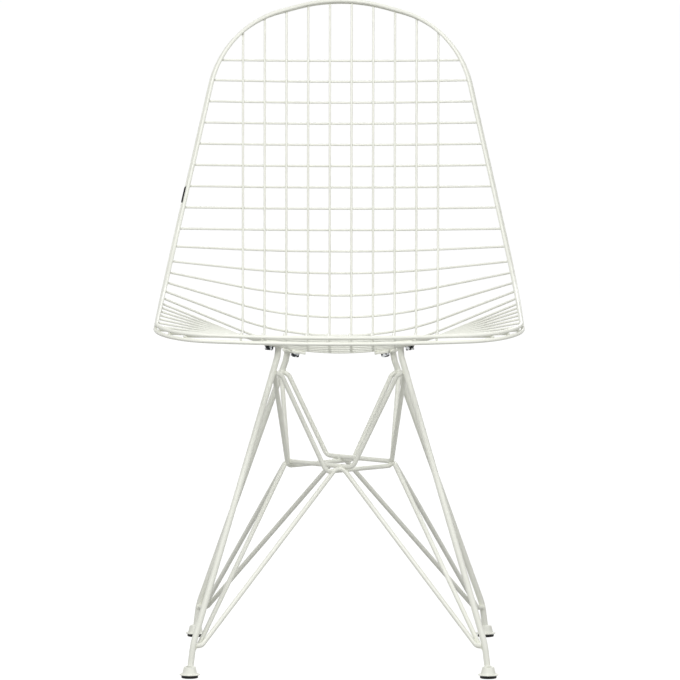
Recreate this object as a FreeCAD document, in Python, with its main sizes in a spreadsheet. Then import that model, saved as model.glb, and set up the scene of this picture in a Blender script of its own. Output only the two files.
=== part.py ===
"""Wire mesh chair: a seat shell of welded wires on a base of bent rods.

Frame in millimetres: +X to the right of a person facing the chair, the chair looks along -Y,
+Z up. The origin is on the floor, in the middle of the feet.

Rounds are taken in flats: the section of a wire is a polygon whose flats touch the round, and the
arcs of its path are short chords.
"""
import FreeCAD, Part
import math
import os

os.makedirs("parts", exist_ok=True)
doc = FreeCAD.newDocument("wire_chair")
Vector = FreeCAD.Vector

# Driving dimensions
SIZES = [
    # Stock
    ("mesh_wire_dia", 3.0),
    ("rim_wire_dia", 5.0),
    ("leg_dia", 8.0),
    ("rod_dia", 6.0),
    ("weld_sink", 0.3),
    ("wire_sides", 6),
    ("rod_sides", 8),
    ("round_sides", 16),
    ("chord_depth", 0.45),
    ("chord_turn_angle", 18.0),
    # Middle line of the shell: each corner counts from the one before, back and up from the front edge
    ("front_edge_y", -261.5),
    ("seat_height", 444.8),
    ("nose_length", 35.5),
    ("nose_drop", 3.0),
    ("seat_crest_radius", 60.0),
    ("seat_length", 381.0),
    ("seat_drop", 70.7),
    ("seat_bend_radius", 84.0),
    ("lower_back_run", 48.0),
    ("lower_back_rise", 304.7),
    ("back_bend_radius", 1300.0),
    ("upper_back_run", 55.0),
    ("upper_back_rise", 153.9),
    # Side of the shell: the elbow counts from the rear of the seat, and the knee from the elbow
    ("front_half_width", 234.9),
    ("side_taper", 0.23),
    ("elbow_forward", 33.5),
    ("elbow_rise", 140.9),
    ("elbow_radius", 90.0),
    ("knee_forward", 101.6),
    ("knee_drop", 48.0),
    ("knee_radius", 300.0),
    # Front corners of the rim, from the front edge, and its shoulders, from the top of the back
    ("corner_back", 16.3),
    ("corner_lift", 3.9),
    ("corner_radius", 78.0),
    ("front_bow", 7.8),
    ("shoulder_forward", 45.0),
    ("shoulder_drop", 30.3),
    ("shoulder_radius", 137.5),
    ("arch_rise", 13.0),
    # Cross wires: steps along the middle line and along the rim, counted from the front edge
    ("cross_count", 25),
    ("back_count", 10),
    ("cross_front_gap", 28.0),
    ("cross_pitch", 28.0),
    ("cross_pitch_growth", 0.625),
    ("rim_front_gap", 198.0),
    ("rim_pitch_seat", 26.0),
    ("rim_pitch_back", 29.05),
    ("cross_arc_share", 0.65),
    # Long wires
    ("long_count", 10),
    ("long_pitch_back", 28.5),
    ("long_pitch_front", 27.6),
    ("wire_end", 1.5),
    # Mounting of the shell on the legs: each strap's wire counts from the front edge
    ("front_bolt_x", 89.5),
    ("rear_bolt_x", 57.0),
    ("front_strap_wire_count", 5),
    ("rear_strap_wire_count", 10),
    ("strap_width", 18.0),
    ("strap_thickness", 3.0),
    ("strap_overhang", 6.0),
    ("lug_width", 14.0),
    ("lug_thickness", 3.0),
    ("front_lug_reach", 12.2),
    ("rear_lug_reach", 10.7),
    ("bolt_dia", 6.0),
    ("bolt_hole_dia", 6.6),
    ("bolt_head_flats", 10.0),
    ("bolt_head_height", 4.2),
    ("washer_dia", 12.0),
    ("washer_thickness", 1.2),
    # Base: the upper rods are welded on below the bend at a leg's top, the braces just over the feet
    ("foot_half_width", 191.0),
    ("foot_half_depth", 191.0),
    ("leg_knee_height", 43.0),
    ("leg_knee_inset", 4.5),
    ("leg_knee_radius", 80.0),
    ("leg_top_drop", 14.0),
    ("leg_top_radius", 16.0),
    ("front_weld_drop", 26.7),
    ("rear_weld_drop", 16.2),
    ("lower_weld_height", 40.0),
    ("weld_depth", 1.2),
    ("hook_rise", 4.0),
    ("rod_standoff", 13.5),
    ("rod_bend_radius", 10.0),
    ("ring_height", 253.0),
    ("ring_half_width", 66.0),
    ("ring_half_depth", 51.0),
    ("ring_overrun", 16.0),
    # Feet
    ("pad_dia", 21.4),
    ("pad_height", 3.9),
    ("pad_chamfer", 0.8),
    ("flange_dia", 26.2),
    ("flange_thickness", 1.3),
    ("cup_base_dia", 19.6),
    ("cup_top_dia", 15.0),
    ("cup_height", 10.6),
    ("cup_floor", 1.5),
    # Tag: a sleeve on the rim, its middle counted from the elbow towards the shoulder
    ("tag_length", 22.0),
    ("tag_wall", 0.7),
    ("tag_distance", 80.5),
]

sheet = doc.addObject("Spreadsheet::Sheet", "sizes")
for row, (alias, value) in enumerate(SIZES, 1):
    sheet.set(f"A{row}", alias)
    sheet.set(f"B{row}", str(value))
    sheet.setAlias(f"B{row}", alias)
doc.recompute()


def size(alias):
    return float(sheet.get(alias))


def count(alias):
    return int(sheet.get(alias))


# Paths: straight runs joined by tangent arcs


def arc_edge(corner, back, ahead, radius):
    """The arc of this radius that is tangent to both runs out of a corner."""
    turn = math.pi - back.getAngle(ahead)
    reach = radius * math.tan(turn / 2)
    rise = radius / math.cos(turn / 2) - radius
    inward = (back + ahead).normalize()
    return Part.Arc(corner + back * reach, corner + inward * rise, corner + ahead * reach).toShape()


def rounded_path(points, radii):
    """The edges of a path through points, with the inner ones rounded."""
    edges = []
    start = points[0]
    for before, corner, after, radius in zip(points, points[1:], points[2:], radii):
        back = (before - corner).normalize()
        ahead = (after - corner).normalize()
        arc = arc_edge(corner, back, ahead, radius)
        edges.append(Part.LineSegment(start, arc.valueAt(arc.FirstParameter)).toShape())
        edges.append(arc)
        start = arc.valueAt(arc.LastParameter)
    edges.append(Part.LineSegment(start, points[-1]).toShape())
    return edges


def chord_step(radius):
    """The turn from one end of a chord to the other, for an arc of this radius."""
    shallow = 2 * math.acos(max(0.0, 1 - size("chord_depth") / radius))
    return min(shallow, math.radians(size("chord_turn_angle")))


def chord_counts(edges, multiple=1):
    """Into how many equal chords each edge of a path is cut, for the arcs a multiple of a number."""
    counts = []
    for edge in edges:
        chords = 1
        if isinstance(edge.Curve, Part.Circle):
            turn = edge.Length / edge.Curve.Radius
            chords = multiple * math.ceil(turn / chord_step(edge.Curve.Radius) / multiple)
        counts.append(chords)
    return counts


def chord_points(edges, counts):
    """The points of a path with each edge cut into its count of chords."""
    points = [edges[0].valueAt(edges[0].FirstParameter)]
    for edge, chords in zip(edges, counts):
        points += edge.discretize(chords + 1)[1:]
    return points


def along(edges, distance):
    """The point and direction at a distance along a path."""
    for edge in edges:
        if distance <= edge.Length:
            break
        distance -= edge.Length
    else:
        distance += edge.Length
    parameter = edge.getParameterByLength(min(distance, edge.Length))
    direction = edge.tangentAt(parameter)
    return edge.valueAt(parameter) + direction * max(0.0, distance - edge.Length), direction


def mirrored(point):
    return Vector(-point.x, point.y, point.z)


def on_line(first, last, wanted, axis):
    """The point of a straight line where one coordinate has the wanted value."""
    share = (wanted - first[axis]) / (last[axis] - first[axis])
    return first + (last - first) * share


# Shell: its middle line, its rim and the cross wires between them
nose = Vector(0, size("front_edge_y"), size("seat_height") - size("nose_drop"))
crest = nose + Vector(0, size("nose_length"), size("nose_drop"))
seat_rear = crest + Vector(0, size("seat_length"), -size("seat_drop"))
back_bend = seat_rear + Vector(0, size("lower_back_run"), size("lower_back_rise"))
back_top = back_bend + Vector(0, size("upper_back_run"), size("upper_back_rise"))
middle_line = rounded_path(
    [nose, crest, seat_rear, back_bend, back_top],
    [size("seat_crest_radius"), size("seat_bend_radius"), size("back_bend_radius")],
)


def side_point(beside, forward, rise):
    """A point of the flat, tapering side of the shell, forward of another point and above it."""
    height = beside.z + rise
    above_corner = height - nose.z - size("corner_lift")
    half_width = size("front_half_width") - size("side_taper") * above_corner
    return Vector(half_width, beside.y - forward, height)


def crown_corner(crown, beside, rise):
    """The corner over a crown in the middle plane, for an arc that rises this much short of it."""
    corner = crown
    for _ in range(6):
        corner = crown - Vector(0, beside.y - corner.y, beside.z - corner.z).normalize() * rise
    return corner


# Corners of the right half of the rim, from the front edge back along the side and over the top
front_corner = side_point(nose, -size("corner_back"), size("corner_lift"))
elbow = side_point(seat_rear, size("elbow_forward"), size("elbow_rise"))
knee = side_point(elbow, size("knee_forward"), -size("knee_drop"))
shoulder = side_point(back_top, size("shoulder_forward"), -size("shoulder_drop"))
rim_corners = [
    crown_corner(nose, front_corner, size("front_bow")),
    front_corner,
    knee,
    elbow,
    shoulder,
    crown_corner(back_top, shoulder, size("arch_rise")),
]
rim_radii = [size("corner_radius"), size("knee_radius"), size("elbow_radius"), size("shoulder_radius")]


def half_crown(corner, beside, rise):
    """Points of half the arc that rounds a corner in the middle plane, from that plane out.

    The first two are half a chord apart, so that the two halves of a rim meet squarely, and the
    arc runs on from the second through the third to the last.
    """
    ahead = (beside - corner).normalize()
    inward = Vector(0, ahead.y, ahead.z).normalize()
    radius = rise * ahead.x / (1 - ahead.x)
    centre = corner + inward * (radius / ahead.x)
    half_chord = chord_step(radius) / 2
    middle = centre - inward * (radius * math.cos(half_chord))
    start = middle + Vector(radius * math.sin(half_chord), 0, 0)
    stop = corner + ahead * (radius * math.sqrt(1 - ahead.x**2) / ahead.x)
    halfway = centre + ((start - centre) + (stop - centre)).normalize() * radius
    return [middle, start, halfway, stop]


def half_rim(corners, radii):
    """The edges of half a rim, from the middle of the front to the middle of the arch."""
    front = half_crown(corners[0], corners[1], size("front_bow"))
    top = half_crown(corners[-1], corners[-2], size("arch_rise"))
    edges = [Part.LineSegment(*front[:2]).toShape(), Part.Arc(*front[1:]).toShape()]
    edges += rounded_path([front[-1]] + corners[1:-1] + [top[-1]], radii)
    top.reverse()
    return edges + [Part.Arc(*top[:3]).toShape(), Part.LineSegment(*top[2:]).toShape()]


round_rim = half_rim(rim_corners, rim_radii)
rim_chords = chord_counts(round_rim)
rim_middle = Part.makePolygon(chord_points(round_rim, rim_chords)).Edges
wires_from_front = range(count("cross_count"), 0, -1)


def cross_distance(number):
    """How far along the middle line a cross wire lies. Round the bend the wires open out."""
    opened = [max(0, wire - count("back_count")) for wire in wires_from_front if wire > number]
    steps = [size("cross_pitch") + size("cross_pitch_growth") * place for place in opened]
    return size("cross_front_gap") + sum(steps)


def rim_distance(number):
    """How far along the rim a cross wire ends."""
    passed = [wire for wire in wires_from_front if wire > number]
    on_back = sum(wire < count("back_count") for wire in passed)
    on_seat = len(passed) - on_back
    return size("rim_front_gap") + size("rim_pitch_seat") * on_seat + size("rim_pitch_back") * on_back


class CrossWire:
    """A wire in one plane: two straight ends joined by an arc through the middle line."""

    def __init__(self, number):
        self.centre = along(middle_line, cross_distance(number))[0]
        self.end = along(rim_middle, rim_distance(number))[0]
        lift = Vector(0, self.end.y - self.centre.y, self.end.z - self.centre.z)
        share = size("cross_arc_share")
        rise = lift.Length * share / (2 - share)
        angle = math.atan((lift.Length + rise) / self.end.x)
        radius = rise * math.cos(angle) / (1 - math.cos(angle))
        bend = self.centre - lift.normalize() * rise
        last = self.end + (self.end - bend).normalize() * size("wire_end")
        edges = rounded_path([mirrored(last), bend, last], [radius])
        self.points = chord_points(edges, chord_counts(edges, 2))

    def at(self, x):
        """The point of the wire at x, and its direction there."""
        for first, last in zip(self.points, self.points[1:]):
            if x <= last.x:
                break
        return on_line(first, last, x, 0), (last - first).normalize()


cross_wires = {number: CrossWire(number) for number in range(1, count("cross_count") + 1)}


def facing(run, lay):
    """The unit vector square to both that points at the person in the chair."""
    normal = run.cross(lay).normalize()
    return normal if normal.z - normal.y > 0 else -normal


def rim_wire_corners(offset):
    """The corners and radii of half a rim wire, at an offset from the rim along the shell's normal."""
    runs = [after - before for before, after in zip(rim_corners, rim_corners[1:])]
    seat_wire, side_wire, back_wire = (cross_wires[number] for number in (18, 11, 5))
    lays = [
        crest - nose,
        seat_wire.at(seat_wire.end.x)[1],
        side_wire.at(side_wire.end.x)[1],
        back_wire.at(back_wire.end.x)[1],
        back_top - back_bend,
    ]
    normals = [facing(run, lay) for run, lay in zip(runs, lays)]
    beside = [mirrored(normals[0])] + normals + [mirrored(normals[-1])]
    corners = []
    for corner, before, after in zip(rim_corners, beside, beside[1:]):
        corners.append(corner + (before + after) * (offset / (1 + before.dot(after))))
    radii = []
    for place, radius in enumerate(rim_radii, 1):
        inward = (runs[place].normalize() - runs[place - 1].normalize()).normalize()
        radii.append(radius - offset * inward.dot((normals[place - 1] + normals[place]) * 0.5))
    return corners, radii


rim_offset = (size("rim_wire_dia") + size("mesh_wire_dia")) / 2 - size("weld_sink") / 2


# Long wires


def long_x(place, y):
    """Where a long wire lies across the chair; the wires draw together a little to the front."""
    share = (back_top.y - y) / (back_top.y - nose.y)
    pitch = size("long_pitch_back") + (size("long_pitch_front") - size("long_pitch_back")) * share
    return place * pitch


def rim_crossing(place, middle, side):
    """The point of the rim, between two distances along it, that lies in the plane of a long wire."""
    for _ in range(40):
        halfway = (middle + side) / 2
        point = along(rim_middle, halfway)[0]
        if point.x < long_x(abs(place), point.y):
            middle = halfway
        else:
            side = halfway
    return point if place > 0 else mirrored(point)


def on_cross_wire(place, wire):
    """Where a long wire passes over a cross wire: the point of the cross wire and its direction."""
    x = long_x(place, wire.centre.y)
    for _ in range(4):
        x = long_x(place, wire.at(x)[0].y)
    return wire.at(x)


def thinned(points, depth):
    """Leaves out the points that a straight run between the others passes this closely."""
    run = (points[-1] - points[0]).normalize()
    gaps = [(point - points[0]).cross(run).Length for point in points]
    farthest = gaps.index(max(gaps))
    if gaps[farthest] <= depth:
        return [points[0], points[-1]]
    return thinned(points[: farthest + 1], depth)[:-1] + thinned(points[farthest:], depth)


def bowed(points, depth):
    """Adds a point to each run that would leave the curve through its neighbours by more than a depth."""
    result = points[:2]
    for before, start, stop, after in zip(points, points[1:], points[2:], points[3:]):
        bow = ((stop - after) - (before - start)) / 16
        if bow.Length > depth:
            result.append((start + stop) * 0.5 + bow)
        result.append(stop)
    return result + points[-1:]


def long_wire_points(place):
    """The points of a long wire on the sitting side of the cross wires; both ends are in the rim."""
    crossings = [on_cross_wire(place, cross_wires[number]) for number in wires_from_front]
    whole = sum(edge.Length for edge in rim_middle)
    first = rim_crossing(place, 0, rim_distance(count("cross_count")))
    last = rim_crossing(place, whole, rim_distance(1))
    track = [first] + [point for point, _ in crossings] + [last]
    points = []
    for before, (point, lay), after in zip(track, crossings, track[2:]):
        normal = facing((after - before).normalize(), lay)
        in_plane = Vector(0, normal.y, normal.z).normalize()
        step = (size("mesh_wire_dia") - size("weld_sink")) / in_plane.dot(normal)
        above = point + in_plane * step
        points.append(Vector(long_x(place, above.y), above.y, above.z))
    points.insert(0, first + (first - points[0]).normalize() * size("wire_end"))
    points.append(last + (last - points[-1]).normalize() * size("wire_end"))
    return thinned(bowed(points, size("chord_depth")), size("weld_sink") / 2)


# Sub-parts: objects of the document whose sizes are bound to the sheet

nodes = []


def node(item, name):
    """Keeps an object as a sub-part under its own name."""
    item.Label = name
    nodes.append(item)
    return item


def bound(kind, name, **formulas):
    """A primitive with its sizes given as formulas of the sheet."""
    item = doc.addObject(kind, name)
    for size_name, formula in formulas.items():
        item.setExpression(size_name, formula)
    return item


def fused(name, pieces):
    item = doc.addObject("Part::MultiFuse", name)
    item.Shapes = pieces
    return item


def cut(name, base, tool):
    item = doc.addObject("Part::Cut", name)
    item.Base = base
    item.Tool = tool
    return item


def group(name, pieces):
    item = doc.addObject("Part::Compound", name)
    item.Links = pieces
    return node(item, name)


def small_round(name, radius, height):
    """A short round piece, standing on its origin."""
    return bound("Part::Prism", name, Polygon="sizes.round_sides", Circumradius=radius, Height=height)


def swept(name, points, diameter, sides):
    """A wire or a rod along a path of straight runs, with mitred joints."""
    path = doc.addObject("Part::Feature", name + "_path")
    path.Shape = Part.makePolygon(points)
    circumradius = f"sizes.{diameter} / 2 / cos(180 / sizes.{sides})"
    section = bound(
        "Part::RegularPolygon", name + "_section", Polygon=f"sizes.{sides}", Circumradius=circumradius
    )
    turn = FreeCAD.Rotation(Vector(0, 0, 1), points[1] - points[0])
    section.Placement = FreeCAD.Placement(points[0], turn)
    sweep = doc.addObject("Part::Sweep", name)
    sweep.Sections = [section]
    sweep.Spine = (path, [f"Edge{place}" for place in range(1, len(points))])
    sweep.Solid = True
    sweep.Frenet = False
    sweep.Transition = "Right corner"
    return sweep


# Rim: two wires that hold the ends of the mesh between them
for side, offset in (("upper", rim_offset), ("lower", -rim_offset)):
    name = f"rim_{side}_wire"
    points = chord_points(half_rim(*rim_wire_corners(offset)), rim_chords)
    right = swept(name + "_right", points, "rim_wire_dia", "rod_sides")
    left = doc.addObject("Part::Mirroring", name + "_left")
    left.Source = right
    left.Normal = Vector(1, 0, 0)
    node(fused(name, [right, left]), name)

# Mesh: cross wires below, long wires on them
for number, wire in cross_wires.items():
    name = f"cross_wire_{number:02d}"
    node(swept(name, wire.points, "mesh_wire_dia", "wire_sides"), name)

for number in range(1, count("long_count") + 1):
    name = f"long_wire_{number:02d}"
    points = long_wire_points(number - (count("long_count") + 1) / 2)
    node(swept(name, points, "mesh_wire_dia", "wire_sides"), name)


# Mounting: straps welded under the mesh, with a leg's lug bolted to each


class Mount:
    """The frame of a strap: X across the chair, Y to the back, Z up; its origin is on top."""

    def __init__(self, front_wire, rear_wire, bolt_x):
        front_point, front_run = front_wire.at(bolt_x)
        rear_point, rear_run = rear_wire.at(bolt_x)
        self.across = (front_run + rear_run).normalize()
        back = rear_point - front_point
        self.length = back.Length + 2 * size("strap_overhang")
        self.up = self.across.cross(back).normalize()
        middle = (front_point + rear_point) * 0.5
        self.origin = middle - self.up * (size("mesh_wire_dia") / 2 - size("weld_sink"))
        turn = FreeCAD.Rotation(self.across, self.up.cross(self.across), self.up, "ZXY")
        self.placement = FreeCAD.Placement(self.origin, turn)

    def local(self, x, y, z):
        """A placement at a point of this frame."""
        return self.placement.multiply(FreeCAD.Placement(Vector(x, y, z), FreeCAD.Rotation()))


mounts = {}
for end in ("front", "rear"):
    front_number = count("cross_count") + 1 - count(f"{end}_strap_wire_count")
    for side, along_x in (("left", -1), ("right", 1)):
        bolt_x = along_x * size(f"{end}_bolt_x")
        mounts[end, side] = Mount(cross_wires[front_number], cross_wires[front_number - 1], bolt_x)

under_strap = -size("strap_thickness")
under_lug = under_strap - size("lug_thickness")
straps = []
bolts = []
washers = []
for (end, side), mount in mounts.items():
    spot = f"{end}_{side}"
    blank = bound("Part::Box", f"strap_{spot}", Length="sizes.strap_width", Height="sizes.strap_thickness")
    blank.Width = mount.length
    blank.Placement = mount.local(-size("strap_width") / 2, -mount.length / 2, under_strap)
    bore = small_round(f"strap_bore_{spot}", "sizes.bolt_dia / 2", "sizes.strap_thickness")
    bore.Placement = mount.local(0, 0, under_strap)
    straps.append(cut(f"drilled_strap_{spot}", blank, bore))

    disc = small_round(f"disc_{spot}", "sizes.washer_dia / 2", "sizes.washer_thickness")
    hole = small_round(f"disc_hole_{spot}", "sizes.bolt_hole_dia / 2", "sizes.washer_thickness")
    washer = cut(f"washer_{spot}", disc, hole)
    washer.Placement = mount.local(0, 0, under_lug - size("washer_thickness"))
    washers.append(washer)

    head = bound("Part::Prism", f"head_{spot}", Circumradius="sizes.bolt_head_flats / 2 / cos(30)")
    head.setExpression("Height", "sizes.bolt_head_height")
    bolted = "sizes.washer_thickness + sizes.lug_thickness + sizes.strap_thickness"
    shank = small_round(f"shank_{spot}", "sizes.bolt_dia / 2", f"sizes.bolt_head_height + {bolted}")
    bolt = fused(f"bolt_{spot}", [head, shank])
    bolt.Placement = mount.local(0, 0, under_lug - size("washer_thickness") - size("bolt_head_height"))
    bolts.append(bolt)

group("mount_plates", straps)
group("mount_bolts", bolts)
group("mount_washers", washers)


# Base: legs, the two tiers of rods between them, and the feet

CORNERS = {
    "front_left": Vector(-1, -1, 0),
    "front_right": Vector(1, -1, 0),
    "rear_left": Vector(-1, 1, 0),
    "rear_right": Vector(1, 1, 0),
}
foot_base = size("pad_height") + size("flange_thickness") + size("cup_floor")


def foot_point(corner, inset, height):
    """A point over a foot, drawn in by the inset."""
    return Vector(
        corner.x * (size("foot_half_width") - inset), corner.y * (size("foot_half_depth") - inset), height
    )


class Leg:
    """The centre line of a leg, from its cup to the lug under the shell."""

    def __init__(self, spot):
        corner = CORNERS[spot]
        end, side = spot.split("_")
        self.mount = mounts[end, side]
        self.reach = size(f"{end}_lug_reach")
        self.to_bolt = corner.x if end == "front" else -corner.x
        middle_of_lug = self.mount.origin + self.mount.up * ((under_strap + under_lug) / 2)
        self.top = middle_of_lug - self.mount.across * (self.to_bolt * self.reach)
        self.bend = self.top - self.mount.up * size("leg_top_drop")
        self.knee = foot_point(corner, size("leg_knee_inset"), size("leg_knee_height"))
        self.foot = foot_point(corner, 0, foot_base)
        self.weld_height = self.bend.z - size(f"{end}_weld_drop")

    def at_height(self, height):
        """The point of the leg's straight runs at a height."""
        if height < self.knee.z:
            return on_line(self.foot, self.knee, height, 2)
        return on_line(self.knee, self.bend, height, 2)

    def points(self):
        corners = [self.foot, self.knee, self.bend, self.top]
        edges = rounded_path(corners, [size("leg_knee_radius"), size("leg_top_radius")])
        return chord_points(edges, chord_counts(edges))


legs = {spot: Leg(spot) for spot in CORNERS}
leg_rods = {}

for spot, leg in legs.items():
    leg_rods[spot] = swept(f"leg_rod_{spot}", leg.points(), "leg_dia", "rod_sides")
    leg_x = -leg.to_bolt * leg.reach
    bar = bound("Part::Box", f"lug_bar_{spot}", Width="sizes.lug_width", Height="sizes.lug_thickness")
    bar.Length = leg.reach
    bar.Placement = leg.mount.local(min(0, leg_x), -size("lug_width") / 2, under_lug)
    rounds = []
    for place, x in (("bolt", 0), ("rod", leg_x)):
        disc = small_round(f"lug_{place}_end_{spot}", "sizes.lug_width / 2", "sizes.lug_thickness")
        disc.Placement = leg.mount.local(x, 0, under_lug)
        rounds.append(disc)
    bore = small_round(f"lug_bore_{spot}", "sizes.bolt_hole_dia / 2", "sizes.lug_thickness")
    bore.Placement = leg.mount.local(0, 0, under_lug)
    blank = fused(f"leg_blank_{spot}", [leg_rods[spot], bar] + rounds)
    node(cut(f"leg_{spot}", blank, bore), f"leg_{spot}")

# Upper rods: each comes down from one leg, runs along a side of the ring and rises to the far leg
ring = {
    "front": Vector(0, -size("ring_half_depth"), size("ring_height")),
    "right": Vector(size("ring_half_width"), 0, size("ring_height")),
    "rear": Vector(0, size("ring_half_depth"), size("ring_height")),
    "left": Vector(-size("ring_half_width"), 0, size("ring_height")),
}
stacking = Vector(0, 0, (size("rod_dia") - size("weld_sink")) / 2)


def hook(leg, towards, height, rise):
    """The end of a rod in a leg and the bend beside it."""
    centre = leg.at_height(height)
    away = Vector(towards.x - centre.x, towards.y - centre.y, 0).normalize()
    start = leg.at_height(height + rise) + away * (size("leg_dia") / 2 - size("weld_depth"))
    return start, centre + away * size("rod_standoff")


def rod(name, corners):
    """A rod with the same bend at each inner corner."""
    edges = rounded_path(corners, [size("rod_bend_radius")] * (len(corners) - 2))
    return node(swept(name, chord_points(edges, chord_counts(edges)), "rod_dia", "rod_sides"), name)


UPPER_RODS = [
    ("front_left", "front", -1, "right", -1, "rear_right"),
    ("front_right", "front", 1, "left", -1, "rear_left"),
    ("rear_left", "rear", 1, "right", 1, "front_right"),
    ("rear_right", "rear", -1, "left", 1, "front_left"),
]
for first, near, near_level, far, far_level, last in UPPER_RODS:
    near_point = ring[near] + stacking * near_level
    far_point = ring[far] + stacking * far_level
    side = (far_point - near_point).normalize()
    near_bend = near_point - side * size("ring_overrun")
    far_bend = far_point + side * size("ring_overrun")
    start, start_bend = hook(legs[first], near_bend, legs[first].weld_height, size("hook_rise"))
    stop, stop_bend = hook(legs[last], far_bend, legs[last].weld_height, size("hook_rise"))
    rod(f"upper_rod_{first}", [start, start_bend, near_bend, far_bend, stop_bend, stop])

# Lower braces: an inverted V under each side of the ring
LOWER_BRACES = [
    ("front", "front_left", "front_right"),
    ("rear", "rear_left", "rear_right"),
    ("left", "front_left", "rear_left"),
    ("right", "front_right", "rear_right"),
]
for name, first, last in LOWER_BRACES:
    outward = Vector(ring[name].x, ring[name].y, 0).normalize()
    beside = math.sqrt((size("rod_dia") - size("weld_sink")) ** 2 - stacking.z**2)
    crown = ring[name] + outward * beside
    start, start_bend = hook(legs[first], crown, size("lower_weld_height"), 0)
    stop, stop_bend = hook(legs[last], crown, size("lower_weld_height"), 0)
    back = (start_bend - crown).normalize()
    ahead = (stop_bend - crown).normalize()
    radius = size("rod_bend_radius")
    rise = radius / math.sin(back.getAngle(ahead) / 2) - radius
    apex = crown - (back + ahead).normalize() * rise
    rod(f"lower_brace_{name}", [start, start_bend, apex, stop_bend, stop])

# Feet: a cup on each leg with a glide pad under its flange
cups = []
for spot, leg in legs.items():
    flange = small_round(f"flange_{spot}", "sizes.flange_dia / 2", "sizes.flange_thickness")
    ends = []
    for place in ("base", "top"):
        end = bound("Part::RegularPolygon", f"cup_{place}_{spot}", Polygon="sizes.round_sides")
        end.setExpression("Circumradius", f"sizes.cup_{place}_dia / 2")
        ends.append(end)
    ends[0].setExpression("Placement.Base.z", "sizes.flange_thickness")
    ends[1].setExpression("Placement.Base.z", "sizes.cup_height")
    cone = doc.addObject("Part::Loft", f"cone_{spot}")
    cone.Sections = ends
    cone.Solid = True
    cone.Ruled = True
    solid_cup = fused(f"solid_cup_{spot}", [flange, cone])
    solid_cup.Placement.Base = Vector(leg.foot.x, leg.foot.y, size("pad_height"))
    cups.append(cut(f"cup_{spot}", solid_cup, leg_rods[spot]))
group("foot_cups", cups)


def glide_pad(spot, leg):
    """A moulded pad whose lower edge is chamfered."""
    body = doc.addObject("PartDesign::Body", f"pad_body_{spot}")
    disc = body.newObject("PartDesign::AdditivePrism", f"pad_disc_{spot}")
    disc.setExpression("Polygon", "sizes.round_sides")
    disc.setExpression("Circumradius", "sizes.pad_dia / 2")
    disc.setExpression("Height", "sizes.pad_height")
    doc.recompute()
    lowest = min(range(len(disc.Shape.Faces)), key=lambda place: disc.Shape.Faces[place].CenterOfMass.z)
    chamfer = body.newObject("PartDesign::Chamfer", f"pad_chamfer_{spot}")
    chamfer.Base = (disc, [f"Face{lowest + 1}"])
    chamfer.setExpression("Size", "sizes.pad_chamfer")
    body.Tip = chamfer
    body.Placement.Base = Vector(leg.foot.x, leg.foot.y, 0)
    return node(body, f"glide_pad_{spot}")


for spot, leg in legs.items():
    glide_pad(spot, leg)

# Tag: a plain sleeve on the lower rim wire, at the left of the back
tag_elbow, tag_shoulder = (mirrored(corner) for corner in rim_wire_corners(-rim_offset)[0][3:5])
tag_run = (tag_shoulder - tag_elbow).normalize()
bore_radius = "sizes.rim_wire_dia / 2 / cos(180 / sizes.rod_sides) / cos(180 / sizes.round_sides)"
sleeve = small_round("sleeve", f"{bore_radius} + sizes.tag_wall", "sizes.tag_length")
sleeve_bore = small_round("sleeve_bore", bore_radius, "sizes.tag_length")
tag = node(cut("tag", sleeve, sleeve_bore), "rim_tag")
tag_start = tag_elbow + tag_run * (size("tag_distance") - size("tag_length") / 2)
tag.Placement = FreeCAD.Placement(tag_start, FreeCAD.Rotation(Vector(0, 0, 1), tag_run))

# Every object is sound before a file is written
doc.recompute()
for item in doc.Objects:
    if "Invalid" in item.State or "Error" in item.State:
        raise RuntimeError(f"{item.Label} is {item.State}")
for item in nodes:
    if item.Shape.isNull() or not item.Shape.isValid():
        raise RuntimeError(f"{item.Label} has no valid shape")
for item in nodes:
    item.Shape.exportStep(f"parts/{item.Label}.step")
    print(item.Label, len(item.Shape.Solids), round(item.Shape.Volume, 1))
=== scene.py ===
import bpy
import numpy as np
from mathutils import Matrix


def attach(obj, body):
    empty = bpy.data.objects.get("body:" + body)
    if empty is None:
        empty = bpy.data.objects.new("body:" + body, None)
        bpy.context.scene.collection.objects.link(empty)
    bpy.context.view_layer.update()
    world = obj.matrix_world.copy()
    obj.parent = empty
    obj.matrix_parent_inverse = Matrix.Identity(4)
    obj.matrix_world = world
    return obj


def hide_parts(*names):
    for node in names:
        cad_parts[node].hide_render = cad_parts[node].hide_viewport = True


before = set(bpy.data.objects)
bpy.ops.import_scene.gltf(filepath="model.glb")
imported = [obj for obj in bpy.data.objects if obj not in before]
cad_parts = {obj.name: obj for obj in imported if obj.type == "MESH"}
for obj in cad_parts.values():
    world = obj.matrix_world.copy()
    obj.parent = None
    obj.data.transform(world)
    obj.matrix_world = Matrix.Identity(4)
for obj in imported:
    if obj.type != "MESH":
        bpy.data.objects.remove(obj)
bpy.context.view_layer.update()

# Rim. Two steel wires bent to the outline of the shell, one on the sitting side of the mesh and one
# under it, hold the mesh ends between them. They are welded to it and powder coated cream-white.
# Sizes here and below are millimetres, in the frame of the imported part.
rim_dia = 5.0
mesh_dia = 3.0
weld_sink = 0.3
front_edge_y = -261.5
seat_height = 444.8
nose_length, nose_drop = 35.5, 3.0
seat_length, seat_drop = 381.0, 70.7
lower_back_run, lower_back_rise = 48.0, 304.7
upper_back_run, upper_back_rise = 55.0, 153.9
seat_crest_radius, seat_bend_radius, back_bend_radius = 60.0, 84.0, 1300.0
elbow_forward, elbow_rise, elbow_radius = 33.5, 140.9, 90.0
knee_forward, knee_drop, knee_radius = 101.6, 48.0, 300.0
corner_back, corner_lift, corner_radius = 16.3, 3.9, 78.0
shoulder_forward, shoulder_drop, shoulder_radius = 45.0, 30.3, 137.5
front_half_width, side_taper = 234.9, 0.23
arch_rise, front_bow = 13.0, 7.8
cross_count = 25
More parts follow.
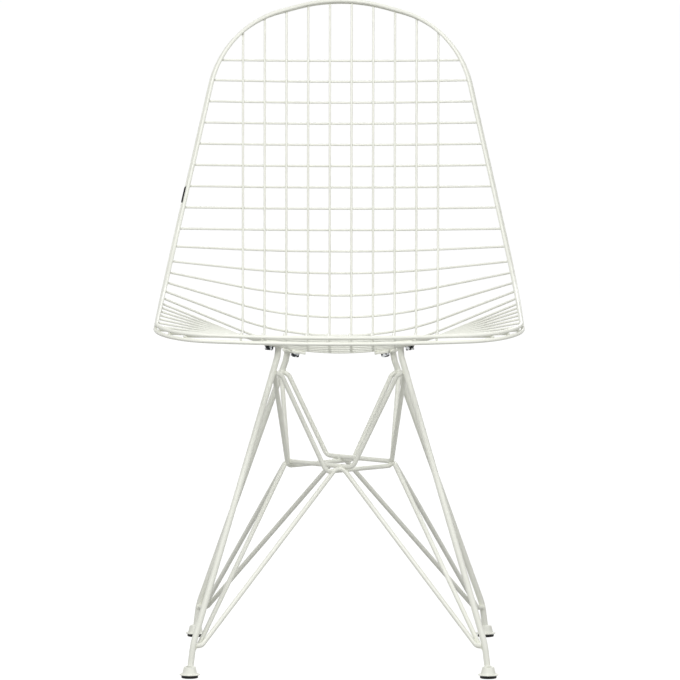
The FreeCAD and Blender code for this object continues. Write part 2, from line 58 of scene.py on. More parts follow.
even_count = 10
cross_front_gap, cross_pitch, cross_growth = 28.0, 28.0, 0.625
rim_front_gap, rim_pitch_back, rim_pitch_seat = 198.0, 29.05, 26.0
arc_share = 0.65
corner_rounds = 8
to_sitter = np.array([0.0, -1.0, 1.0])
sideways = np.array([1.0, 0.0, 0.0])
in_middle_plane = np.array([0.0, 1.0, 1.0])


def unit(vectors):
    """Vectors divided by their lengths."""
    return vectors / np.linalg.norm(vectors, axis=-1, keepdims=True)


def rounded(corners, radii, steps=25, loop=False):
    """Points of a path of straight runs joined by tangent arcs.

    Where the path turns by t, the centre of an arc of radius r lies r / cos(t/2) inward of the corner,
    and the arc's points lie r from it, at angles from -t/2 to t/2 about the line back to the corner.
    """
    corners = np.asarray(corners, float)
    back = unit(np.roll(corners, 1, 0) - corners)
    ahead = unit(np.roll(corners, -1, 0) - corners)
    if not loop:
        back, ahead = back[1:-1], ahead[1:-1]
    inner = corners if loop else corners[1:-1]
    radii = np.asarray(radii, float)[:, None]
    inward = unit(back + ahead)
    across = unit(ahead - back)
    turn = np.pi - np.arccos(np.clip(np.sum(back * ahead, -1), -1, 1))[:, None]
    angle = (turn * np.linspace(-0.5, 0.5, steps))[..., None]
    centre = inner + inward * radii / np.cos(turn / 2)
    bow = across[:, None] * np.sin(angle) - inward[:, None] * np.cos(angle)
    arcs = (centre[:, None] + radii[:, None] * bow).reshape(-1, 3)
    return arcs if loop else np.vstack([corners[:1], arcs, corners[-1:]])


def travelled(path):
    """How far along the path each of its points lies."""
    return np.append(0, np.cumsum(np.linalg.norm(np.diff(path, axis=0), axis=1)))


def at_distance(path, distance):
    """The points of a path at distances from its start."""
    return np.stack([np.interp(distance, travelled(path), path[:, axis]) for axis in range(3)], -1)


def tube(path, radius, up, sides=14, loop=False):
    """A round profile carried along a path: path point + radius (side cos a + rise sin a).

    Side is square to the run and to the up vector, and rise is square to both.
    """
    run = np.roll(path, -1, 0) - np.roll(path, 1, 0)
    if not loop:
        run[0], run[-1] = path[1] - path[0], path[-1] - path[-2]
    run = unit(run)
    side = unit(np.cross(run, up))[:, None]
    rise = np.cross(side[:, 0], run)[:, None]
    angle = (np.arange(sides) * 2 * np.pi / sides)[:, None]
    radius = np.broadcast_to(radius, len(path))[:, None, None]
    return path[:, None] + radius * (side * np.cos(angle) + rise * np.sin(angle))


def surface(grid, loop=False):
    """Quads between neighbouring rings of a grid of points, with a flat cap at each open end.

    The faces are turned outwards: the volume between them and the middle of the grid is positive.
    """
    index = np.arange(grid.shape[0] * grid.shape[1]).reshape(grid.shape[:2])
    here, ahead = (index, np.roll(index, -1, 0)) if loop else (index[:-1], index[1:])
    quads = np.stack([here, ahead, np.roll(ahead, -1, 1), np.roll(here, -1, 1)], -1).reshape(-1, 4)
    caps = [] if loop else [index[0], index[-1][::-1]]
    points = grid.reshape(-1, 3)
    a, b, c, d = (points - points.mean(0))[quads].transpose(1, 0, 2)
    if np.sum(a * (np.cross(b, c) + np.cross(c, d))) < 0:
        quads, caps = quads[:, ::-1], [cap[::-1] for cap in caps]
    return points, quads, caps


def add_piece(name, parts, finish, slot, *replaced):
    """Makes one mesh object, in metres, of surfaces given in millimetres, and seats it on the chair."""
    faces = []
    start = 0
    for points, quads, caps in parts:
        faces += (quads + start).tolist() + [(cap + start).tolist() for cap in caps]
        start += len(points)
    mesh = bpy.data.meshes.new(name)
    mesh.from_pydata(np.concatenate([points for points, _, _ in parts]) * 0.001, [], faces)
    mesh.polygons.foreach_set("use_smooth", np.ones(len(faces), bool))
    mesh.set_sharp_from_angle(angle=np.radians(38))
    mesh.materials.append(finish)
    piece = bpy.data.objects.new(name, mesh)
    bpy.context.scene.collection.objects.link(piece)
    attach(piece, "root")
    if replaced:
        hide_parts(*replaced)
    return piece


def linear(hex_colour):
    """An sRGB hex colour as linear red, green, blue and alpha."""
    share = np.array([int(hex_colour[place : place + 2], 16) for place in (1, 3, 5)]) / 255
    curved = ((share + 0.055) / 1.055) ** 2.4
    return (*np.where(share <= 0.04045, share / 12.92, curved), 1.0)


def add_node(tree, kind, inputs=None, **settings):
    """Adds a shader node with its settings; each input is a plain value or another node's output."""
    made = tree.nodes.new("ShaderNode" + kind)
    for setting, value in settings.items():
        setattr(made, setting, value)
    for name, value in (inputs or {}).items():
        if isinstance(value, bpy.types.NodeSocket):
            tree.links.new(value, made.inputs[name])
        else:
            made.inputs[name].default_value = value
    return made


def add_material(name):
    """An empty material and its node tree."""
    material = bpy.data.materials.new(name)
    material.use_nodes = True
    material.node_tree.nodes.clear()
    return material, material.node_tree


def powder_coat():
    """Polyester powder coat, cream-white satin, sprayed and baked on zinc-treated steel.

    It flows to an even film with a fine orange peel, so the eye sees soft, slightly broken highlights
    and a tone that drifts a little where the film is thicker. The sizes are those of one bump of the
    peel and of one patch of thicker film.
    """
    peel_size, film_size = 1.6, 45.0
    material, tree = add_material("powder_coat_cream")
    place = add_node(tree, "TexCoord").outputs["Object"]
    patches = {"Vector": place, "Scale": 1000 / film_size, "Detail": 2.0, "Roughness": 0.5}
    drift = add_node(tree, "TexNoise", patches)
    tone = add_node(tree, "ValToRGB", {"Fac": drift.outputs["Fac"]})
    tone.color_ramp.elements[0].position, tone.color_ramp.elements[1].position = 0.3, 0.7
    tone.color_ramp.elements[0].color = linear("#F0F1E7")
    tone.color_ramp.elements[1].color = linear("#F3F4EB")
    bumps = {"Vector": place, "Scale": 1000 / peel_size, "Detail": 3.0, "Roughness": 0.55}
    skin = add_node(tree, "TexNoise", bumps)
    gloss = add_node(tree, "MapRange", {"Value": skin.outputs["Fac"], "To Min": 0.3, "To Max": 0.38})
    bump = add_node(tree, "Bump", {"Height": skin.outputs["Fac"], "Strength": 0.12, "Distance": 0.00006})
    shader = add_node(
        tree,
        "BsdfPrincipled",
        {
            "Base Color": tone.outputs["Color"],
            "Roughness": gloss.outputs["Result"],
            "Normal": bump.outputs["Normal"],
            "IOR": 1.5,
        },
    )
    add_node(tree, "OutputMaterial", {"Surface": shader.outputs["BSDF"]})
    return material


coat = powder_coat()


def mirrored(points):
    """Points swapped from one side of the chair to the other."""
    return points * np.array([-1.0, 1.0, 1.0])


def side_point(y, height, corner_height):
    """A point of the flat, tapering side of the shell."""
    return np.array([front_half_width - side_taper * (height - corner_height), y, height])


def crown_corner(crown, beside, rise):
    """The corner over a crown in the middle plane, for an arc that rises this much short of it.

    It lies beyond the crown by the rise, away from the corner beside it. That direction starts at the
    corner itself, so it is worked out in a few rounds.
    """
    corner = crown
    for _ in range(corner_rounds):
        corner = crown - unit((beside - corner) * in_middle_plane) * rise
    return corner


def crown_radius(corner, beside, rise):
    """The radius of the arc that rounds a corner in the middle plane and rises this much short of it."""
    slant = unit(beside - corner)[0]
    return rise * slant / (1 - slant)


def whole_rim(corners, radii, steps=25):
    """A rim's closed path from the corners of its right half, and its right half by itself."""
    top = crown_radius(corners[0], corners[1], arch_rise)
    front = crown_radius(corners[-1], corners[-2], front_bow)
    around = np.vstack([corners, mirrored(corners[-2:0:-1])])
    path = rounded(around, [top, *radii, front, *radii[::-1]], steps, loop=True)
    middle = steps // 2
    return path, path[middle : (len(corners) - 1) * steps + middle + 1]


nose = np.array([0.0, front_edge_y, seat_height - nose_drop])
crest = np.array([0.0, front_edge_y + nose_length, seat_height])
seat_rear = crest + [0, seat_length, -seat_drop]
back_bend = seat_rear + [0, lower_back_run, lower_back_rise]
back_top = back_bend + [0, upper_back_run, upper_back_rise]
middle_corners = np.array([nose, crest, seat_rear, back_bend, back_top])
middle_line = rounded(middle_corners, [seat_crest_radius, seat_bend_radius, back_bend_radius], steps=61)

corner_height = nose[2] + corner_lift
front_corner = side_point(nose[1] + corner_back, corner_height, corner_height)
elbow = side_point(seat_rear[1] - elbow_forward, seat_rear[2] + elbow_rise, corner_height)
knee = side_point(elbow[1] - knee_forward, elbow[2] - knee_drop, corner_height)
shoulder = side_point(back_top[1] - shoulder_forward, back_top[2] - shoulder_drop, corner_height)
rim_corners = np.array(
    [
        crown_corner(back_top, shoulder, arch_rise),
        shoulder,
        elbow,
        knee,
        front_corner,
        crown_corner(nose, front_corner, front_bow),
    ]
)
rim_radii = np.array([shoulder_radius, elbow_radius, knee_radius, corner_radius])
rim_line = whole_rim(rim_corners, rim_radii)[1][::-1]

number = np.arange(1, cross_count + 1)
ahead_of = np.tril(np.ones((cross_count, cross_count)), -1).T
middle_steps = cross_pitch + cross_growth * np.maximum(0, number - even_count)
rim_steps = np.where(number >= even_count, rim_pitch_seat, rim_pitch_back)
cross_centre = at_distance(middle_line, cross_front_gap + ahead_of @ middle_steps)
cross_end = at_distance(rim_line, rim_front_gap + ahead_of @ rim_steps)
cross_lift = (cross_end - cross_centre) * in_middle_plane
cross_depth = np.linalg.norm(cross_lift, axis=-1)
cross_lift = unit(cross_lift)
cross_rise = cross_depth * arc_share / (2 - arc_share)
cross_slope = (cross_depth + cross_rise) / cross_end[:, 0]
cross_radius = cross_rise / (np.sqrt(1 + cross_slope**2) - 1)
cross_arc_half = cross_radius * cross_slope / np.sqrt(1 + cross_slope**2)


def on_cross_wire(wire, x):
    """Points of cross wires at places x across the chair, and their directions there.

    Each is an arc through the middle line, and beyond its half width a straight run up to the rim. The
    arc's root isn't used out there, and is only kept real.
    """
    inside = np.abs(x) < cross_arc_half[wire]
    drop = np.sqrt(np.maximum(cross_radius[wire] ** 2 - x**2, 1.0))
    height = np.where(inside, cross_radius[wire] - drop, np.abs(x) * cross_slope[wire] - cross_rise[wire])
    slope = np.where(inside, x / drop, np.sign(x) * cross_slope[wire])
    lift = cross_lift[wire]
    points = cross_centre[wire] + lift * height[..., None] + sideways * np.asarray(x)[..., None]
    return points, unit(lift * slope[..., None] + sideways)


def facing(run, lay):
    """The unit vectors square to both that point at the sitter."""
    normal = unit(np.cross(run, lay))
    return normal * np.sign(normal @ to_sitter)[..., None]


def rim_wire(offset):
    """The corners and radii of half a rim wire at an offset from the rim, square to the shell.

    The shell lies along the top of the back, along one cross wire beside each of the three side runs,
    and along the front of the seat. Each corner moves by the same offset from both runs that it joins.
    """
    beside = [on_cross_wire(np.array(wire), cross_end[wire, 0])[1] for wire in side_run_wires]
    lays = np.array([back_top - back_bend, *beside, nose - crest])
    normals = facing(np.diff(rim_corners, axis=0), lays)
    around = np.vstack([mirrored(normals[:1]), normals, mirrored(normals[-1:])])
    both = around[:-1] + around[1:]
    share = offset / (1 + np.sum(around[:-1] * around[1:], -1))
    runs = unit(np.diff(rim_corners, axis=0))
    inward = unit(np.diff(runs, axis=0))
    radii = rim_radii - offset * np.sum(inward * (normals[:-1] + normals[1:]) / 2, -1)
    return rim_corners + both * share[:, None], radii


side_run_wires = (4, 10, 17)
rim_offset = (rim_dia + mesh_dia - weld_sink) / 2
for side, offset in (("upper", rim_offset), ("lower", -rim_offset)):
    ring_of_wire = tube(whole_rim(*rim_wire(offset))[0], rim_dia / 2, to_sitter, sides=18, loop=True)
    parts = [surface(ring_of_wire, loop=True)]
    add_piece(f"rim_{side}_round", parts, coat, "powder_coat", f"rim_{side}_wire")

# Cross wires. Thin steel wires from side to side, each bent once in its own plane, flat across the
# back and deepest in the seat. Their sheared ends are welded between the two rim wires.
wire_end = 1.5
sheared_edge = 0.35


def cut_wire(path, diameter, up, sides=12):
    """A wire with sheared ends: a tube whose last rings draw in by the burr of the cut."""
    ends = [0.0, sheared_edge]
    first = path[0] + unit(path[1] - path[0]) * np.array(ends)[:, None]
    last = path[-1] + unit(path[-2] - path[-1]) * np.array(ends[::-1])[:, None]
    path = np.vstack([first, path[1:-1], last])
    radius = np.full(len(path), diameter / 2)
    radius[[0, -1]] -= sheared_edge
    return surface(tube(path, radius, up, sides))


for wire in range(cross_count):
    tip, run = on_cross_wire(np.array(wire), cross_end[wire, 0])
    tip = tip + run * wire_end
    bend = cross_centre[wire] - cross_lift[wire] * cross_rise[wire]
    path = rounded([mirrored(tip), bend, tip], [cross_radius[wire]], steps=33)
    node = f"cross_wire_{wire + 1:02d}"
    add_piece(node + "_round", [cut_wire(path, mesh_dia, to_sitter)], coat, "powder_coat", node)

# Long wires. Ten steel wires run from the arch down the back and forward to the front edge, on the
# sitting side of the cross wires, and draw together a little on the way. They are spot welded on.
long_count = 10
long_pitch_back, long_pitch_front = 28.5, 27.6
long_steps = 6
crossing_rounds = 4


def long_x(place, y):
    """Where a long wire lies across the chair, for points at these distances to the back."""
    share = (back_top[1] - y) / (back_top[1] - nose[1])
    return place * (long_pitch_back + (long_pitch_front - long_pitch_back) * share)


def rim_crossing(half, place):
    """The point of half a rim, starting at its crown, that lies in the plane of a long wire."""
    beyond = half[:, 0] - long_x(np.abs(place), half[:, 1])
    near = slice(0, np.argmax(beyond > 0) + 1)
    point = np.array([np.interp(0, beyond[near], half[near, axis]) for axis in range(3)])
    return point if place > 0 else mirrored(point)


def smooth_line(points, steps):
    """A smooth line through points: cubic pieces whose slopes are those between the neighbours."""
    slope = np.gradient(points, travelled(points), axis=0)
    length = np.diff(travelled(points))[:, None, None]
    t = np.linspace(0, 1, steps, endpoint=False)[:, None]
    start, stop = points[:-1, None], points[1:, None]
    out, arrive = slope[:-1, None] * length, slope[1:, None] * length
    line = (
        start * (2 * t**3 - 3 * t**2 + 1)
        + out * (t**3 - 2 * t**2 + t)
        + stop * (3 * t**2 - 2 * t**3)
        + arrive * (t**3 - t**2)
    )
    return np.vstack([line.reshape(-1, 3), points[-1:]])


crossing_points = []
crossing_runs = []
crossing_lays = []
for column in range(long_count):
    place = column + (1 - long_count) / 2
    x = long_x(place, cross_centre[:, 1])
    for _ in range(crossing_rounds):
        points, lays = on_cross_wire(np.arange(cross_count), x)
        x = long_x(place, points[:, 1])
    track = np.vstack([rim_crossing(rim_line[::-1], place), points, rim_crossing(rim_line, place)])
    runs = unit(track[2:] - track[:-2])
    normals = facing(runs, lays)
    in_plane = unit(normals * in_middle_plane)
    step = (mesh_dia - weld_sink) / np.sum(in_plane * normals, -1)
    track[1:-1] += in_plane * step[:, None]
    track[0] += unit(track[0] - track[1]) * wire_end
    track[-1] += unit(track[-1] - track[-2]) * wire_end
    node = f"long_wire_{column + 1:02d}"
    path = smooth_line(track, long_steps)
    add_piece(node + "_round", [cut_wire(path, mesh_dia, sideways)], coat, "powder_coat", node)
    crossing_points.append(points + normals * (mesh_dia - weld_sink) / 2)
    crossing_runs.append(runs)
    crossing_lays.append(lays)

# Spot welds of the mesh. Where two wires were pressed together hot, a little steel swelled out into
# the corners between them, and the coat rounds it off. At the rim the swelling wraps the wire ends.
crossing_swell = 2.15
crossing_height = 1.1
rim_swell, rim_swell_across = 2.3, 1.9
short_step = 1.0


def swellings(centres, along, across, sizes, sides=8, rings=5):
    """Flattened balls: centre + along, across and the vector square to both, each times its size
    and its share of a unit sphere, on rings from pole to pole."""
    upright = unit(np.cross(along, across))
    level = (np.pi * (np.arange(rings) + 0.5) / rings)[:, None]
    around = np.arange(sides) * 2 * np.pi / sides
    ball = np.stack(
        [np.sin(level) * np.cos(around), np.sin(level) * np.sin(around), np.cos(level) + 0 * around], -1
    )
    axes = np.stack([along, unit(np.cross(upright, along)), upright], 1) * np.asarray(sizes)[:, None]
    return [surface(centre + ball @ frame_axes) for centre, frame_axes in zip(centres, axes)]


parts = swellings(
    np.concatenate(crossing_points),
    np.concatenate(crossing_runs),
    np.concatenate(crossing_lays),
    [crossing_swell, crossing_swell, crossing_height],
)
add_piece("mesh_spot_welds", parts, coat, "powder_coat")

rim_run = unit(at_distance(rim_line, rim_front_gap + ahead_of @ rim_steps + short_step) - cross_end)
rim_lay = on_cross_wire(np.arange(cross_count), cross_end[:, 0])[1]
rim_sizes = [rim_swell, rim_swell_across, rim_swell]
parts = swellings(cross_end, rim_run, rim_lay, rim_sizes)
parts += swellings(mirrored(cross_end), mirrored(rim_run), mirrored(rim_lay), rim_sizes)
add_piece("rim_spot_welds", parts, coat, "powder_coat")

# Straps. A short flat bar of steel is welded under two neighbouring cross wires near each corner of
# the seat and carries the bolt that holds a leg. It is coated with the shell. Wires count from 0.
front_strap_wire, rear_strap_wire = 20, 15
front_bolt_x, rear_bolt_x = 89.5, 57.0
strap_width, strap_thickness, strap_overhang = 18.0, 3.0, 6.0
strap_corner, strap_edge = 1.5, 0.5
corner_steps, edge_steps = 7, 4


class StrapPlace:
    """The frame of a strap: across the chair, to the back and up, from the middle of its top."""

    def __init__(self, wire, bolt_x):
        near, near_run = on_cross_wire(np.array(wire), bolt_x)
        far, far_run = on_cross_wire(np.array(wire - 1), bolt_x)
        self.across = unit(near_run + far_run)
        self.length = np.linalg.norm(far - near) + 2 * strap_overhang
        self.up = unit(np.cross(self.across, far - near))
        self.back = np.cross(self.up, self.across)
        self.origin = (near + far) / 2 - self.up * (mesh_dia / 2 - weld_sink)
        self.axes = np.stack([self.across, self.back, self.up])

    def at(self, x, y, z):
        """A point given in the strap's own frame."""
        return self.origin + np.array([x, y, z]) @ self.axes


def flat_bar(centre, axes, length, width, corner, thickness, edge):
    """A flat bar with rounded corners and edges: rings of four quarter rounds joined by straight sides,
    drawn in along a quarter round towards each face."""
    quarter = np.linspace(0, np.pi / 2, corner_steps)
    angle = np.concatenate([quarter + turn * np.pi / 2 for turn in range(4)])
    corner_x = np.repeat([1, -1, -1, 1], corner_steps) * (length / 2 - corner)
    corner_y = np.repeat([1, 1, -1, -1], corner_steps) * (width / 2 - corner)
    fall = np.linspace(0, np.pi / 2, edge_steps)
    inset = np.append(edge * (1 - np.sin(fall)), edge * (1 - np.sin(fall[::-1])))[:, None]
    level = np.append(edge * (1 - np.cos(fall)), thickness - edge * (1 - np.cos(fall[::-1])))[:, None]
    x = corner_x + (corner - inset) * np.cos(angle)
    y = corner_y + (corner - inset) * np.sin(angle)
    return surface(centre + np.stack([x, y, level - thickness / 2 + 0 * x], -1) @ axes)


strap_ends = (("front", front_strap_wire, front_bolt_x), ("rear", rear_strap_wire, rear_bolt_x))
straps = {}
for end, wire, bolt_x in strap_ends:
    for side, sign in (("left", -1), ("right", 1)):
        straps[f"{end}_{side}"] = StrapPlace(wire, sign * bolt_x)
parts = []
for strap in straps.values():
    size = (strap_width, strap.length, strap_corner, strap_thickness, strap_edge)
    parts.append(flat_bar(strap.at(0, 0, -strap_thickness / 2), strap.axes, *size))
add_piece("mount_straps_coated", parts, coat, "powder_coat", "mount_plates")

# Legs. Steel rods that stand almost upright in their cups, bend once above the floor and lean in to
# the shell, where a flat lug with a hole for the bolt is welded across each top.
leg_dia = 8.0
foot_half = 191.0
leg_knee_height, leg_knee_inset, leg_knee_radius = 43.0, 4.5, 80.0
leg_top_drop, leg_top_radius = 14.0, 16.0
front_lug_reach, rear_lug_reach = 12.2, 10.7
lug_width, lug_thickness, lug_edge = 14.0, 3.0, 0.6
front_weld_drop, rear_weld_drop = 23.7, 19.0
front_standoff, rear_standoff = 13.5, 11.5
pad_height, flange_thickness, cup_floor = 3.9, 1.3, 1.5
weld_leg = 2.4
weld_ripples, ripple_share = 9, 0.12
off_every_rod = np.array([0.3, 0.5, 0.8])


class LegPlace:
    """The centre line of a leg, from its cup to the lug under its strap."""

    def __init__(self, spot):
        side = -1 if spot.endswith("left") else 1
        front = spot.startswith("front")
        self.strap = straps[spot]
        self.reach = front_lug_reach if front else rear_lug_reach
        self.to_bolt = side if front else -side
        self.top = self.strap.at(-self.to_bolt * self.reach, 0, -strap_thickness - lug_thickness / 2)
        self.bend = self.top - self.strap.up * leg_top_drop
        outward = np.array([side, -1 if front else 1, 0.0])
        self.knee = outward * (foot_half - leg_knee_inset) + [0, 0, leg_knee_height]
        self.foot = outward * foot_half + [0, 0, pad_height + flange_thickness + cup_floor]
        self.weld_height = self.bend[2] - (front_weld_drop if front else rear_weld_drop)
        self.standoff = front_standoff if front else rear_standoff

    def at_height(self, height):
        """The point of the leg's centre line at a height."""
        first, last = (self.foot, self.knee) if height < self.knee[2] else (self.knee, self.bend)
        return first + (last - first) * (height - first[2]) / (last[2] - first[2])


def weld_bead(root, run, radius, leg, sides=27, rings=6):
    """A fillet weld round a rod's end: rings about the run whose radius falls from the weld's leg to the
    rod in a hollow curve, with ripples where the welder stopped and went on."""
    run = unit(run)
    side = unit(np.cross(run, off_every_rod))
    other = np.cross(run, side)
    along = np.linspace(0, 1, rings)[:, None]
    angle = np.arange(sides) * 2 * np.pi / sides
    ripple = 1 + ripple_share * np.sin(weld_ripples * angle)
    distance = radius + leg * (1 - along) ** 2 * ripple
    bead = distance[..., None] * (np.cos(angle)[:, None] * side + np.sin(angle)[:, None] * other)
    return surface(root + bead + along[..., None] * run * leg)


legs = {spot: LegPlace(spot) for spot in straps}
for spot, leg in legs.items():
    path = rounded([leg.foot, leg.knee, leg.bend, leg.top], [leg_knee_radius, leg_top_radius])
    rod = surface(tube(path, leg_dia / 2, sideways, sides=20))
    middle = leg.strap.at(-leg.to_bolt * leg.reach / 2, 0, -strap_thickness - lug_thickness / 2)
    lug_size = (leg.reach + lug_width, lug_width, lug_width / 2, lug_thickness, lug_edge)
    lug = flat_bar(middle, leg.strap.axes, *lug_size)
    under = leg.top - leg.strap.up * lug_thickness / 2
    bead = weld_bead(under, -leg.strap.up, leg_dia / 2, weld_leg)
    add_piece(f"leg_{spot}_coated", [rod, lug, bead], coat, "powder_coat", f"leg_{spot}")

# Upper rods. Four thinner rods: each comes down from one leg, runs along a side of the ring in the
# middle of the base and rises to the leg beyond. They cross in pairs and are welded where they touch.
rod_dia = 6.0
ring_height, ring_half_width, ring_half_depth = 253.0, 66.0, 51.0
end_overrun, side_overrun = 21.5, 1.5
rod_bend_radius = 10.0
hook_rise, weld_depth = 4.0, 1.2
rod_weld_leg = 2.0
upright = np.array([0.0, 0.0, 1.0])
on_the_level = np.array([1.0, 1.0, 0.0])
ring = {
    "front": np.array([0.0, -ring_half_depth, ring_height]),
    "right": np.array([ring_half_width, 0.0, ring_height]),
    "rear": np.array([0.0, ring_half_depth, ring_height]),
    "left": np.array([-ring_half_width, 0.0, ring_height]),
}
stacking = (rod_dia - weld_sink) / 2 * upright


def hook(leg, towards, height, rise, standoff):
    """The end of a rod in a leg and the bend beside it."""
    centre = leg.at_height(height)
    away = unit((towards - centre) * on_the_level)
    start = leg.at_height(height + rise) + away * (leg_dia / 2 - weld_depth)
    return start, centre + away * standoff


def rod_and_beads(points):
    """A rod through its corners, and a weld bead at each of its ends."""
    points = np.array(points)
    path = rounded(points, [rod_bend_radius] * (len(points) - 2), steps=13)
    parts = [surface(tube(path, rod_dia / 2, upright, sides=16))]
    for end, beside in ((points[0], points[1]), (points[-1], points[-2])):
        parts.append(weld_bead(end, beside - end, rod_dia / 2, rod_weld_leg))
    return parts


upper_rods = [
    ("front_left", "front", -1, "right", -1, "rear_right"),
    ("front_right", "front", 1, "left", 1, "rear_left"),
    ("rear_left", "rear", 1, "right", 1, "front_right"),
    ("rear_right", "rear", -1, "left", -1, "front_left"),
]
for first, near, near_level, far, far_level, last in upper_rods:
    near_point = ring[near] + stacking * near_level
    far_point = ring[far] + stacking * far_level
    side = unit(far_point - near_point)
    near_bend = near_point - side * end_overrun
    far_bend = far_point + side * side_overrun
    near_leg, far_leg = legs[first], legs[last]
    start, start_bend = hook(near_leg, near_bend, near_leg.weld_height, hook_rise, near_leg.standoff)
    stop, stop_bend = hook(far_leg, far_bend, far_leg.weld_height, hook_rise, far_leg.standoff)
    parts = rod_and_beads([start, start_bend, near_bend, far_bend, stop_bend, stop])
    node = f"upper_rod_{first}"
    add_piece(node + "_coated", parts, coat, "powder_coat", node)

# Lower braces. Under each side of the ring a rod rises from one leg to the ring and drops to the next
# leg, an inverted V with a small bend at each weld. Its crown is welded beside the crossing rods.
lower_weld_height = 40.0
braces = [
    ("front", "front_left", "front_right"),
    ("rear", "rear_left", "rear_right"),
    ("left", "front_left", "rear_left"),
    ("right", "front_right", "rear_right"),
]
crown_swell = 2.9
outwards = {name: unit(point * on_the_level) for name, point in ring.items()}
beside_ring = np.sqrt((rod_dia - weld_sink) ** 2 - stacking[2] ** 2)
for name, first, last in braces:
    crown = ring[name] + outwards[name] * beside_ring
    start, start_bend = hook(legs[first], crown, lower_weld_height, 0, front_standoff)
    stop, stop_bend = hook(legs[last], crown, lower_weld_height, 0, front_standoff)
    back, ahead = unit(start_bend - crown), unit(stop_bend - crown)
    half_angle = np.arccos(back @ ahead) / 2
    crown_gap = rod_bend_radius / np.sin(half_angle) - rod_bend_radius
    points = [start, start_bend, crown - unit(back + ahead) * crown_gap, stop_bend, stop]
    node = f"lower_brace_{name}"
    add_piece(node + "_coated", rod_and_beads(points), coat, "powder_coat", node)

centres = np.concatenate([[ring[name], ring[name] + outwards[name] * beside_ring / 2] for name in ring])
along = np.repeat([outwards[name] for name in ring], 2, axis=0)
parts = swellings(centres, along, np.cross(upright, along), [crown_swell] * 3, sides=14, rings=8)
add_piece("ring_welds", parts, coat, "powder_coat")

# Bolts and washers. Hexagon head screws of zinc-plated steel go up through the lugs into the straps,
# each on a plain washer. The heads are forged, with a chamfer of 30 degrees turned on top. Their
# colour is a painted reflection: dark metal with bright patches.
bolt_flats, bolt_head_height, bolt_chamfer = 10.0, 4.2, 30.0
chamfer_share, face_share, under_edge = 0.475, 0.8, 0.25
head_steps = 72
washer_dia, washer_bore, washer_thickness, washer_edge = 12.0, 6.6, 1.2, 0.2


def zinc_with_painted_reflections():
    """Zinc plating on steel, glossy, with fine turning marks. Its colour is painted: a dark metal with
    bright patches of a few millimetres, a painted reflection of dark and bright surroundings. Real marks
    are finer than the size given here, which is as coarse as they need to show."""
    mark_size, highlight_patch_size = 0.35, 4.5
    material, tree = add_material("zinc_with_painted_reflections")
    place = add_node(tree, "TexCoord").outputs["Object"]
    turning = {"Vector": place, "Scale": 1000 / mark_size, "Detail": 4.0, "Roughness": 0.6}
    marks = add_node(tree, "TexNoise", turning)
    # Painted reflection: noise patches turn the colour from dark metal to bright metal.
    painted_highlights = add_node(tree, "TexNoise", {"Vector": place, "Scale": 1000 / highlight_patch_size, "Detail": 1.0})
    tone = add_node(tree, "ValToRGB", {"Fac": painted_highlights.outputs["Fac"]})
    tone.color_ramp.elements[0].position, tone.color_ramp.elements[1].position = 0.47, 0.6
    tone.color_ramp.elements[0].color = linear("#2B2C2E")
    tone.color_ramp.elements[1].color = linear("#D2D4D6")
    gloss = add_node(tree, "MapRange", {"Value": marks.outputs["Fac"], "To Min": 0.12, "To Max": 0.22})
    bump = add_node(tree, "Bump", {"Height": marks.outputs["Fac"], "Strength": 0.2, "Distance": 0.00003})
    shader = add_node(
        tree,
        "BsdfPrincipled",
        {
            "Base Color": tone.outputs["Color"],
            "Metallic": 1.0,
            "Roughness": gloss.outputs["Result"],
            "Normal": bump.outputs["Normal"],
        },
    )
    add_node(tree, "OutputMaterial", {"Surface": shader.outputs["BSDF"]})
    return material


def turned(centre, axes, outline, sides=40):
    """A turned piece: an outline of radii and heights carried round the upright axis."""
    outline = np.asarray(outline, float)
    angle = np.arange(sides) * 2 * np.pi / sides
    radius, level = outline[:, :1], outline[:, 1:]
    ring_points = np.stack([radius * np.cos(angle), radius * np.sin(angle), level + 0 * angle], -1)
    return surface(centre + ring_points @ axes)


def hexagon_head(centre, axes, flats, height):
    """A hexagon head: its side lies flats / 2 / cos(angle from the middle of a flat) from the axis, and the
    chamfer is a cone that the six sides cut off."""
    angle = np.arange(head_steps) * 2 * np.pi / head_steps
    base = np.zeros(head_steps)
    side = flats / 2 / np.cos((angle + np.pi / 6) % (np.pi / 3) - np.pi / 6)
    top = base + flats * chamfer_share
    chamfer_foot = height - (side - top) * np.tan(np.radians(bolt_chamfer))
    radii = np.stack([side - under_edge, side, side, top, face_share * top])
    levels = np.stack([base, base + under_edge, chamfer_foot, base + height, base + height])
    return surface(centre + np.stack([radii * np.cos(angle), radii * np.sin(angle), levels], -1) @ axes)


zinc = zinc_with_painted_reflections()
rim, bore = washer_dia / 2, washer_bore / 2
washer_outline = [
    (bore, 0),
    (rim - washer_edge, 0),
    (rim, washer_edge),
    (rim, washer_thickness - washer_edge),
    (rim - washer_edge, washer_thickness),
    (bore, washer_thickness),
]
heads = []
washers = []
for strap in straps.values():
    downwards = strap.axes * np.array([1.0, -1.0, -1.0])[:, None]
    under_lug = strap.at(0, 0, -strap_thickness - lug_thickness)
    washers.append(turned(under_lug, downwards, washer_outline))
    under_washer = under_lug - strap.up * washer_thickness
    heads.append(hexagon_head(under_washer, downwards, bolt_flats, bolt_head_height))
add_piece("mount_washers_plated", washers, zinc, "bright_zinc", "mount_washers")
add_piece("mount_bolts_plated", heads, zinc, "bright_zinc", "mount_bolts")

# Feet. A spun steel cup with a thin flange is welded on each leg and coated with it. A black plastic
# glide with a rounded lower edge is pressed in under the flange.
flange_dia, cup_base_dia, cup_top_dia, cup_height = 26.2, 19.6, 15.0, 10.6
pad_dia, pad_lower_edge, pad_upper_edge = 21.4, 0.9, 0.3
flange_edge, cup_base_round, cup_top_round = 0.55, 0.9, 0.8
hollow_radius, leg_overlap, cup_weld_leg = 2.0, 1.0, 1.6


